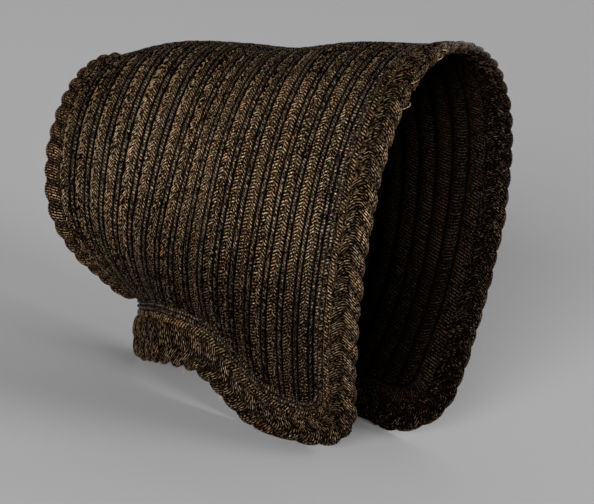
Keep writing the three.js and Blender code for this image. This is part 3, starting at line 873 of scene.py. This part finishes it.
# %% Scalloped braid
BRAID_THICKNESS, BRAID_LEAN, OVERLAP, WIDER, SQUARED = 6.5, 9.0, 1.6, 1.0, 0.86
NAPE_FATTER, LOBE_DEPTH, NAPE_DEEPER = 1.4, 2.3, 1.5
SWELL_FROM, SWELL_TO = 2.15, 2.5
SEWN_FROM, SEWN_TO, SEWN_FLAT = 0.45, 0.95, 0.9
braid_places = [0.0, 0.8, 1.5, SWELL_FROM, SWELL_TO, 3.0]
braid_widths = [15.5, 15.5, 17.5, 15.5, 24.0, 24.0]


def braid_width(place):
    """Width from place to place, with an S-shaped step between the listed ones."""
    i = np.clip(np.searchsorted(braid_places, place, side="left"), 1, len(braid_places) - 1)
    a, b = np.array(braid_places)[i - 1], np.array(braid_places)[i]
    t = smoothstep(place, a, b)
    return np.array(braid_widths)[i - 1] * (1 - t) + np.array(braid_widths)[i] * t


def scalloped_frame(s, angle):
    """Section of the scalloped braid: a flat oval across the wall, its middle half a width
    outside the edge plait. Direction and radius come from the oval's point at the angle. On
    the side that is sewn down the lobes are hardly cut, so that no light comes through."""
    place, point, out, _, away = braid_line.at(s)
    width = braid_width(place)
    swollen = smoothstep(place, SWELL_FROM, SWELL_TO)
    half_out = width / 2 + WIDER
    half_up = BRAID_THICKNESS / 2 + SEAM + NAPE_FATTER * swollen
    c, d = np.cos(angle + 0 * s), np.sin(angle + 0 * s)
    out_part = np.sign(c) * np.abs(c) ** SQUARED * half_out
    up_part = np.sign(d) * np.abs(d) ** SQUARED * half_up
    middle = point + away * (EDGE_WIDTH - OVERLAP + half_out)[..., None] + out * (WALL / 2)
    reach = away * out_part[..., None] + out * up_part[..., None]
    sewn = smoothstep(-c, SEWN_FROM, SEWN_TO)
    depth = (LOBE_DEPTH + NAPE_DEEPER * swollen) * (1 - SEWN_FLAT * sewn)
    return middle, unit(reach), np.linalg.norm(reach, axis=-1), depth


points, lay, tone = thick_braid(
    braid_line.length, scalloped_frame, BRAID_LEAN, across=24, seed=41, cut=0.42, shade=0.40
)
# Painted shade round the neck, as on the edge plait
tone = neck_shade(tone, braid_line.at(lay[..., 0])[0])
rope_piece, count = make_piece("scalloped_rope", points, lay, tone, True)
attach(rope_piece, "root")
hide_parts("scalloped_braid")
print("scalloped braid triangles:", count)

# %% [markdown]
# Stray straws
#
# A few straw ends have broken loose along the rim and under the neck edge. Hair strands could
# scatter many, but the bonnet has only some, so each is a thin tube put where one is seen.

# %% Stray straws
STRAW_RADIUS, STRAW_SIDES = 0.22, 6
# Place round the opening, and how far the straw runs along the edge, outwards and up, in mm
STRAYS = [
    (0.10, -9.0, 2.0, 3.0),
    (0.17, 7.0, 3.5, 1.0),
    (0.24, -10.0, 1.5, 4.0),
    (0.33, 6.0, 3.0, -1.0),
    (2.20, 5.0, 4.0, 2.0),
    (2.34, -6.0, 4.5, 1.0),
]


def stray_straw(number, wanted, along, outwards, up):
    """A broken straw end: a thin round tube bent along a half sine wave, rooted in the outer
    edge of the braid on the wearer's right."""
    half = len(loop_place) // 2
    i = half + int(np.argmin(np.abs(loop_place[half:] - wanted)))
    root = loop_point[i] + loop_away[i] * (EDGE_WIDTH + braid_width(loop_place[i]) - 1.2)
    run = unit(np.cross(loop_out[i], loop_away[i]))
    t = np.linspace(0, 1, 14)[:, None]
    path = root + run * along * t + loop_away[i] * outwards * np.sin(np.pi * t * 0.8) + loop_out[i] * up * t
    turn = np.arange(STRAW_SIDES)[None, :, None] * 2 * np.pi / STRAW_SIDES
    ring = loop_away[i] * np.cos(turn) + loop_out[i] * np.sin(turn)
    points = path[:, None] + ring * STRAW_RADIUS
    tone = np.broadcast_to(np.array([1.0, 0.0, 1.0]), points.shape)
    lay = np.stack(np.broadcast_arrays(t * 8, turn[0].T, np.float64(number * 3.7)), -1)
    return make_piece("stray_straw_%d" % number, points, lay, tone, False)


for number, stray in enumerate(STRAYS, 1):
    piece, _ = stray_straw(number, *stray)
    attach(piece, "root")
print("stray straws:", len(STRAYS))

# %% [markdown]
# The tip
#
# The back of the crown is closed by rows of plait sewn round and round, and a lumpy braid
# covers the seam where they meet the first hoop. A flat ring would miss that hoop, which is
# neither round nor flat, so the braid's line follows it and crosses just above the nape.

# %% Line of the tip braid
TIP_BRAID_WIDTH, TIP_BRAID_THICKNESS, TIP_BULGE, TIP_ROW_WIDTH = 9.0, 6.5, 8.0, 10.6
TIP_LEAN, TIP_LOBE_DEPTH, FOOT_RISE, TIP_SIDE_END = 3.0, 2.6, 0.6, 0.94


def tip_line(count=900):
    """Closed line in equal steps: the first hoop, set back by half the braid, down to most of
    its length, and then a cubic that comes out level across the nape."""
    share = np.linspace(0, TIP_SIDE_END, 300)
    point, out = shell(0.0, share), shell_out(0.0, share)
    run = np.gradient(point, axis=0)
    back = unit(np.cross(out, run))
    set_back = TIP_BRAID_WIDTH / 2 + SEAM
    side = point + back * set_back + out * (WALL / 2)
    foot = np.array([0.0, loop_point[:, 1].max() + set_back, TIP_BRAID_THICKNESS / 2 + FOOT_RISE])
    chord = np.linalg.norm(foot - side[-1])
    start, end = unit(side[-1] - side[-2]) * chord, np.array([-chord, 0.0, 0.0])
    t = np.linspace(0, 1, 60)[1:, None]
    curve = (2 * t**3 - 3 * t**2 + 1) * side[-1] + (t**3 - 2 * t**2 + t) * start
    curve = curve + (-2 * t**3 + 3 * t**2) * foot + (t**3 - t**2) * end
    left = np.concatenate([side, curve])
    both = np.concatenate([left, left[-2:0:-1] * np.array([-1.0, 1.0, 1.0])])
    closed = np.concatenate([both, both[:1]])
    run = np.concatenate([[0], np.cumsum(np.linalg.norm(np.diff(closed, axis=0), axis=1))])
    s = np.arange(count) / count * run[-1]
    return np.stack([np.interp(s, run, closed[:, k]) for k in range(3)], axis=-1), float(run[-1])


tip_points, tip_length = tip_line()
tip_middle = (tip_points.min(0) + tip_points.max(0)) / 2
tip_run = unit(np.roll(tip_points, -1, axis=0) - np.roll(tip_points, 1, axis=0))
tip_in = tip_middle - tip_points
tip_in = unit(tip_in - tip_run * np.sum(tip_in * tip_run, axis=1, keepdims=True))
tip_back = np.cross(tip_in, tip_run)
tip_back *= np.sign(tip_back[:, 1:2])
print("length round the tip:", round(tip_length), "mm, its middle:", tip_middle.round(1))


# %% Section of the tip braid
# How far the oval goes past its solid, inwards and backwards, in mm
PAST_IN, PAST_BACK = 0.8, 0.9


def read_tip(values, s):
    """Value at a length s along the tip line, which may run past its end."""
    f = np.mod(np.asarray(s, float) / tip_length, 1) * len(values)
    i = f.astype(int) % len(values)
    t = (f - np.floor(f))[..., None]
    return values[i] * (1 - t) + values[(i + 1) % len(values)] * t


def tip_rope_frame(s, angle):
    """Section of the tip braid: an oval, thin towards the middle and wide backwards."""
    middle, inward, back = read_tip(tip_points, s), read_tip(tip_in, s), read_tip(tip_back, s)
    c, d = np.cos(angle + 0 * s), np.sin(angle + 0 * s)
    reach = inward * c[..., None] * (TIP_BRAID_THICKNESS / 2 + PAST_IN)
    reach = reach + back * d[..., None] * (TIP_BRAID_WIDTH / 2 + PAST_BACK)
    sewn = np.maximum(smoothstep(c, SEWN_FROM, SEWN_TO), smoothstep(-d, SEWN_FROM, SEWN_TO))
    depth = TIP_LOBE_DEPTH * (1 - SEWN_FLAT * sewn)
    return middle, unit(reach), np.linalg.norm(reach, axis=-1), depth


print("tip braid:", TIP_BRAID_WIDTH, "by", TIP_BRAID_THICKNESS, "mm")

# %% Tip braid
points, lay, tone = thick_braid(
    tip_length, tip_rope_frame, TIP_LEAN, across=16, seed=52, cut=0.36, shade=0.10
)
tip_rope, count = make_piece("tip_rope", points, lay, tone, True)
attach(tip_rope, "root")
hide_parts("tip_braid")
print("tip braid triangles:", count)

# %% [markdown]
# The round rows
#
# Inside the braid the same plait as on the hoops goes round and round, each turn sewn to the
# last. A true spiral would be one long piece. The solids have a ring for each turn, so each
# ring is woven by itself, smaller copies of the braid's line about the middle of the tip.

# %% Round rows of the tip
TIP_V_LEAN, FEWEST_STRAWS = 2.6, 12
tip_radius = tip_length / (2 * math.pi) - TIP_BRAID_THICKNESS / 2 - SEAM
tip_rows = int(tip_radius / TIP_ROW_WIDTH)
tip_step = TIP_ROW_WIDTH / tip_radius


def tip_place(scale, s):
    """Place inside the tip braid: scale 1 is its rim and 0 its middle. The middle swells
    backwards by a parabola of the scale."""
    rim = read_tip(tip_points, s) + read_tip(tip_in, s) * (TIP_BRAID_THICKNESS / 2 + SEAM)
    scale = np.asarray(scale, float)[..., None]
    place = rim * scale + tip_middle * (1 - scale)
    place[..., 1:2] += TIP_BULGE * (1 - scale**2)
    return place


def tip_row(number):
    """Closed ring of plait round the tip, its section running inwards from its outer seam."""
    table = np.concatenate([row_section, row_lining])
    scale = 1 - (number - 1 + table[:, 0]) * tip_step
    middle_scale = 1 - (number - 0.5) * tip_step
    straws = max(2 * round(tip_length * middle_scale / STRAW_PITCH / 2), FEWEST_STRAWS)
    rings = straws * STEPS_PER_STRAW
    moved = slant(table, TIP_V_LEAN) / middle_scale
    s = (np.arange(rings) * tip_length / rings)[:, None] + moved[None]
    both = scale[None] + 0 * s
    place = tip_place(both, s)
    across = tip_place(both + 0.01, s) - tip_place(both - 0.01, s)
    run = tip_place(both, s + 2) - tip_place(both, s - 2)
    out = unit(np.cross(across, run))
    out = out * np.sign(out[..., 1:2])
    lifted, tone, inside = weave(row_section, row_lining, rings, 400 + number)
    height = np.where(inside, -WALL / 2, WALL / 2) + lifted
    # Painted shade inside the tip: the lining is made far less open to the light
    tone[..., 2] *= np.where(inside, INSIDE_OPEN, 1.0)
    return make_piece(
        "tip_plait_%d" % number, place + out * height[..., None],
        lay_record(rings, table, TIP_ROW_WIDTH, 60 + number), tone, True,
    )


for number in range(1, tip_rows + 1):
    piece, _ = tip_row(number)
    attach(piece, "root")
    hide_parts("tip_row_%d" % number)
print("tip rows:", tip_rows, "triangles so far:", sum(totals))

# %% [markdown]
# The button
#
# The end of the last round row is tucked under a small coil in the middle of the tip. A plain
# disc would do for so small a piece, but a dome with two turns and the same straws fits in.

# %% Coil in the middle of the tip
# Height of the dome and of its two turns in mm, how low it sits, and the height of its straws
DOME_HEIGHT, TURN_HEIGHT, DOME_DROP, COIL_STRAW = 0.9, 0.35, 0.5, 0.25
COIL_LIGHT, COIL_SPREAD, COIL_GREY = 0.45, 0.4, 0.2


def tip_coil(rings=96, across=18):
    """A low dome of two wound turns: height over the disc is a cosine of the radius plus a
    ripple for each turn. The section runs out over the top and back underneath."""
    rim_scale = 1 - tip_rows * tip_step - SEAM / 2 / tip_radius
    top_share = np.linspace(0.03, 1, across - 4)
    under_share = np.array([0.98, 0.70, 0.35, 0.03])
    share = np.concatenate([top_share, under_share])
    dome = DOME_HEIGHT * np.cos(top_share * np.pi / 2) ** 0.8 - DOME_DROP
    turns = TURN_HEIGHT * np.abs(np.sin(top_share * 2.2 * np.pi))
    above_disc = np.concatenate([WALL / 2 + dome + turns, np.full(len(under_share), -WALL / 2)])
    s = np.arange(rings)[:, None] * tip_length / rings + 6.0 * share[None] / rim_scale
    both = (share * rim_scale)[None] + 0 * s
    place = tip_place(both, s)
    out = unit(np.array([0.0, 1.0, 0.0]) + 0 * place)
    local = np.random.default_rng(77)
    step = np.arange(rings)
    ripple = straw_profile[step % STEPS_PER_STRAW][:, None] * COIL_STRAW * (share[None] > 0.1)
    points = place + out * (above_disc[None] + ripple * (above_disc[None] > 0))[..., None]
    own = local.random(rings // STEPS_PER_STRAW)[step // STEPS_PER_STRAW]
    bright = COIL_LIGHT + COIL_SPREAD * (own - 0.5)
    # Painted shade: the underside of the coil is made half as open to the light
    opened = straw_open[step % STEPS_PER_STRAW][:, None] * (0.5 + 0.5 * (above_disc[None] > 0))
    tone = np.stack(np.broadcast_arrays(bright[:, None], np.float64(COIL_GREY), opened), -1)
    lay = np.stack(np.broadcast_arrays(step[:, None] * 0.6, share[None] * 8, np.float64(77.0)), -1)
    return make_piece("tip_coil", points, lay, tone, True)


coil_piece, count = tip_coil()
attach(coil_piece, "root")
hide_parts("tip_button")
print("coil triangles:", count, "all:", sum(totals))

# %% [markdown]
# The finish of old dyed straw
#
# The straw was dyed nearly black brown and has faded: the straws' backs are tan, the cords
# are greyer, and the gaps and the straws' sides get painted shade, nearly black. Near-white
# glints are painted on the lightest grains. One way is to paint this as a picture, but then
# it would blur from close by. Here the colour is mixed from each point's own tone, with fine
# streaks along the straw from a stretched noise, and the same streaks roughen the surface.

# %% Helpers for a node tree
def feed(tree, socket, value):
    """Links an output to the socket, or sets a plain value on it."""
    if isinstance(value, bpy.types.NodeSocket):
        tree.links.new(value, socket)
    else:
        socket.default_value = value


def record_of(tree, name):
    """A piece's own record, read at each of its points."""
    node = tree.nodes.new("ShaderNodeAttribute")
    node.attribute_name = name
    return node.outputs["Vector"]


def worked(tree, operation, a, b, clamp=False):
    """One sum of two numbers, held between 0 and 1 if it is clamped."""
    node = tree.nodes.new("ShaderNodeMath")
    node.operation = operation
    node.use_clamp = clamp
    feed(tree, node.inputs[0], a)
    feed(tree, node.inputs[1], b)
    return node.outputs["Value"]


def noise(tree, place, stretch, scale=1.0, detail=3.0, roughness=0.5):
    """Noise about 0.5, read at a place whose three parts are first multiplied by the stretch."""
    mapping = tree.nodes.new("ShaderNodeMapping")
    mapping.inputs["Scale"].default_value = stretch
    tree.links.new(place, mapping.inputs["Vector"])
    node = tree.nodes.new("ShaderNodeTexNoise")
    node.inputs["Scale"].default_value = scale
    node.inputs["Detail"].default_value = detail
    node.inputs["Roughness"].default_value = roughness
    tree.links.new(mapping.outputs["Vector"], node.inputs["Vector"])
    return node.outputs["Fac"]


def three_colours(tree, value, low, middle, high):
    """Colour ramp through three stops, each a position and a colour."""
    node = tree.nodes.new("ShaderNodeValToRGB")
    stops = node.color_ramp.elements
    stops[0].position, stops[0].color = low[0], (*low[1], 1)
    stops[1].position, stops[1].color = high[0], (*high[1], 1)
    stops.new(middle[0]).color = (*middle[1], 1)
    tree.links.new(value, node.inputs["Fac"])
    return node.outputs["Color"]


def mixed(tree, blend, factor, a, b):
    """Colours a and b mixed by the factor."""
    node = tree.nodes.new("ShaderNodeMix")
    node.data_type = "RGBA"
    node.blend_type = blend
    for name, value in (("Factor", factor), ("A", a), ("B", b)):
        feed(tree, node.inputs[name], value)
    return node.outputs["Result"]


def between(dark, light, share):
    """A colour that lies a share of the way from dark to light."""
    return [d * (1 - share) + l * share for d, l in zip(dark, light)]


print("a quarter of the way from black to white:", between((0, 0, 0), (1, 1, 1), 0.25))

# %% What the straw's finish is made of
# How a pattern is stretched: along the straw, across it and from piece to piece
STREAK_STRETCH, GRAIN_STRETCH, HUE_STRETCH = (3.2, 0.45, 1.0), (1.9, 1.15, 1.0), (0.22, 0.30, 1.0)
PATCH_SCALE = 28.0
# How far streaks, grain and patches move the lightness, and patches the greyness
STREAK_PART, GRAIN_PART, PATCH_PART, PATCH_GREY = 0.9, 9.0, 0.8, 0.6
# The ramp from dark to light stays near the dark until it is past its middle
DARK_AT, MIDDLE_AT, LIGHT_AT, MIDDLE_SHARE = 0.08, 0.60, 1.0, 0.09
GREENISH, PLAIN, ORANGE = (0.80, 0.98, 0.74), (1.0, 0.96, 0.92), (1.0, 0.62, 0.34)
# The lightest grains get painted glints, near white, and the gaps between straws painted shade, near black
GLINT_FROM, GLINT_SHARP, GLINT_COLOUR = 0.20, 9.0, (0.72, 0.64, 0.52, 1)
OPEN_POWER, GAP_SHADE_COLOUR = 1.9, (0.0008, 0.0005, 0.0004, 1)
DULL_HUE, DULL_SATURATION, DULL_VALUE = 0.525, 0.50, 0.42
ROUGHNESS, STREAK_GLOSS, SHINE, SHINE_TINT = 0.42, -0.5, 0.95, (1.0, 0.80, 0.60, 1)
BUMP_STRENGTH, BUMP_DEPTH = 0.9, 0.00025
print("grain lies", round(GRAIN_PART / STREAK_PART), "times as heavily on the colour as streaks")


# %% Straw finish
def straw_finish(name, dark, light):
    """Colour: from dark to light by the straw's tone and a fine grain, greener or redder in
    patches, duller by its greyness, with painted glints on the lightest grains and painted
    shade where it is little open to the light. The light specks shine and the dark ones don't.
    A noise drawn out along the straw makes its streaks."""
    finish = bpy.data.materials.new(name)
    finish.use_nodes = True
    tree = finish.node_tree
    shader = tree.nodes["Principled BSDF"]
    tone = tree.nodes.new("ShaderNodeSeparateXYZ")
    tree.links.new(record_of(tree, "tone"), tone.inputs["Vector"])
    lay = record_of(tree, "lay")
    on_piece = tree.nodes.new("ShaderNodeTexCoord").outputs["Object"]

    streaks = noise(tree, lay, STREAK_STRETCH, detail=4.0, roughness=0.6)
    streak = worked(tree, "SUBTRACT", streaks, 0.5)
    grain = worked(tree, "SUBTRACT", noise(tree, lay, GRAIN_STRETCH, detail=1.0), 0.5)
    patch = worked(tree, "SUBTRACT", noise(tree, on_piece, (1, 1, 1), PATCH_SCALE), 0.5)
    lightness = worked(tree, "ADD", tone.outputs["X"], worked(tree, "MULTIPLY", streak, STREAK_PART))
    lightness = worked(tree, "ADD", lightness, worked(tree, "MULTIPLY", grain, GRAIN_PART))
    lightness = worked(tree, "ADD", lightness, worked(tree, "MULTIPLY", patch, PATCH_PART), clamp=True)
    middle = between(dark, light, MIDDLE_SHARE)
    straw = three_colours(tree, lightness, (DARK_AT, dark), (MIDDLE_AT, middle), (LIGHT_AT, light))

    hues = noise(tree, lay, HUE_STRETCH, roughness=0.65)
    hue = three_colours(tree, hues, (0.32, GREENISH), (0.50, PLAIN), (0.68, ORANGE))
    tinted = mixed(tree, "MULTIPLY", 1.0, straw, hue)
    dulled = tree.nodes.new("ShaderNodeHueSaturation")
    dulled.inputs["Hue"].default_value = DULL_HUE
    dulled.inputs["Saturation"].default_value = DULL_SATURATION
    dulled.inputs["Value"].default_value = DULL_VALUE
    tree.links.new(tinted, dulled.inputs["Color"])
    grey = worked(tree, "ADD", tone.outputs["Y"], worked(tree, "MULTIPLY", patch, PATCH_GREY), clamp=True)
    greyed = mixed(tree, "MIX", grey, tinted, dulled.outputs["Color"])
    # Painted glints, near white, on the lightest grains, and painted shade, near black, where the straw is
    # closed to the light
    glint = worked(tree, "MULTIPLY", worked(tree, "SUBTRACT", grain, GLINT_FROM), GLINT_SHARP, clamp=True)
    glinting = mixed(tree, "MIX", glint, greyed, GLINT_COLOUR)
    opened = worked(tree, "POWER", tone.outputs["Z"], OPEN_POWER, clamp=True)
    tree.links.new(mixed(tree, "MIX", opened, GAP_SHADE_COLOUR, glinting), shader.inputs["Base Color"])

    gloss = worked(tree, "ADD", worked(tree, "MULTIPLY", streak, STREAK_GLOSS), ROUGHNESS)
    tree.links.new(gloss, shader.inputs["Roughness"])
    shine = worked(tree, "MULTIPLY", worked(tree, "MULTIPLY", opened, lightness), SHINE)
    tree.links.new(shine, shader.inputs["Specular IOR Level"])
    shader.inputs["Specular Tint"].default_value = SHINE_TINT
    bump = tree.nodes.new("ShaderNodeBump")
    bump.inputs["Strength"].default_value = BUMP_STRENGTH
    bump.inputs["Distance"].default_value = BUMP_DEPTH
    tree.links.new(streaks, bump.inputs["Height"])
    tree.links.new(bump.outputs["Normal"], shader.inputs["Normal"])
    return finish


row_finish = straw_finish("faded straw", (0.0020, 0.0011, 0.0006), (0.49, 0.320, 0.185))
print("nodes in the finish:", len(row_finish.node_tree.nodes))

# %% One finish for each kind of plait
finish_of = {
    "straw_edge_plait": straw_finish("faded edge straw", (0.0035, 0.0018, 0.0009), (0.34, 0.205, 0.105)),
    "scalloped_rope": straw_finish("brown rope straw", (0.0020, 0.0010, 0.0005), (0.34, 0.205, 0.105)),
    "tip_rope": straw_finish("orange brown straw", (0.0024, 0.0011, 0.0006), (0.42, 0.230, 0.105)),
}
for piece in bpy.data.objects:
    if piece.type == "MESH" and "lay" in piece.data.attributes:
        piece.data.materials.append(finish_of.get(piece.name, row_finish))
print("finishes:", row_finish.name, *[finish.name for finish in finish_of.values()], sep=", ")

# %% [markdown]
# The floor
#
# The bonnet stands on a plain pale floor that fills the view. A curved backdrop would do for
# one view only. The floor is just a large square, far too large for its edge to show.

# %% Floor
FLOOR_HALF, FLOOR_DROP, FLOOR_COLOUR = 20.0, 0.0003, (0.54, 0.535, 0.54, 1)
floor_mesh = bpy.data.meshes.new("floor")
corners = [(x * FLOOR_HALF, y * FLOOR_HALF, -FLOOR_DROP) for x, y in ((-1, -1), (1, -1), (1, 1), (-1, 1))]
floor_mesh.from_pydata(corners, [], [(0, 1, 2, 3)])
floor = bpy.data.objects.new("floor", floor_mesh)
bpy.context.collection.objects.link(floor)
floor_finish = bpy.data.materials.new("pale floor")
floor_finish.use_nodes = True
floor_shader = floor_finish.node_tree.nodes["Principled BSDF"]
floor_shader.inputs["Base Color"].default_value = FLOOR_COLOUR
floor_shader.inputs["Roughness"].default_value = 0.9
floor_mesh.materials.append(floor_finish)
print("floor:", 2 * FLOOR_HALF, "m square")

# %% [markdown]
# Light
#
# The key lamp is a soft sun just left of the camera, so the rows that face the camera are the
# lightest and the inside of the brim stays dark. A broad lamp on the right opens the shadows,
# a weak sun from the far right lights the edges of the rows, and another from above and behind
# draws the outline. A picture of a studio could light it too, but four lamps and a dim even
# world can be read and moved one by one.

# %% Lights
# Kind, strength, how wide it is (degrees for a sun, metres for an area lamp), its direction as
# parts to the camera's right, up and back, and its distance in metres
LAMPS = {
    "key lamp": ("SUN", 5.3, 14, (-0.16, 0.02, 1.0), 8.0),
    "fill lamp": ("AREA", 120.0, 3.0, (0.8, 0.0, 0.9), 5.0),
    "back lamp": ("SUN", 0.5, 50, (0.35, 0.55, -0.85), 8.0),
    "side lamp": ("SUN", 1.3, 40, (0.95, 0.22, -0.30), 8.0),
}
WORLD_COLOUR, WORLD_STRENGTH = (0.86, 0.88, 0.92, 1), 0.11
target = at_rest(np.array([0.0, -80.0, 60.0]))


def place_lamp(name, kind, strength, width, parts, distance):
    """Lamp in a direction given by the camera's own axes, turned to the bonnet."""
    data = bpy.data.lights.new(name, kind)
    data.energy = strength
    if kind == "SUN":
        data.angle = math.radians(width)
    else:
        data.size = width
    direction = unit(cam_right * parts[0] + cam_up * parts[1] + cam_back * parts[2])
    lamp = bpy.data.objects.new(name, data)
    bpy.context.collection.objects.link(lamp)
    lamp.location = Vector((target + direction * distance).tolist())
    lamp.rotation_euler = Vector((-direction).tolist()).to_track_quat("-Z", "Y").to_euler()


for name, lamp_values in LAMPS.items():
    place_lamp(name, *lamp_values)
world = bpy.data.worlds.new("studio")
world.use_nodes = True
world.node_tree.nodes["Background"].inputs["Color"].default_value = WORLD_COLOUR
world.node_tree.nodes["Background"].inputs["Strength"].default_value = WORLD_STRENGTH
bpy.context.scene.world = world
bpy.context.scene.view_settings.view_transform = "Standard"
print("lamps:", ", ".join(LAMPS))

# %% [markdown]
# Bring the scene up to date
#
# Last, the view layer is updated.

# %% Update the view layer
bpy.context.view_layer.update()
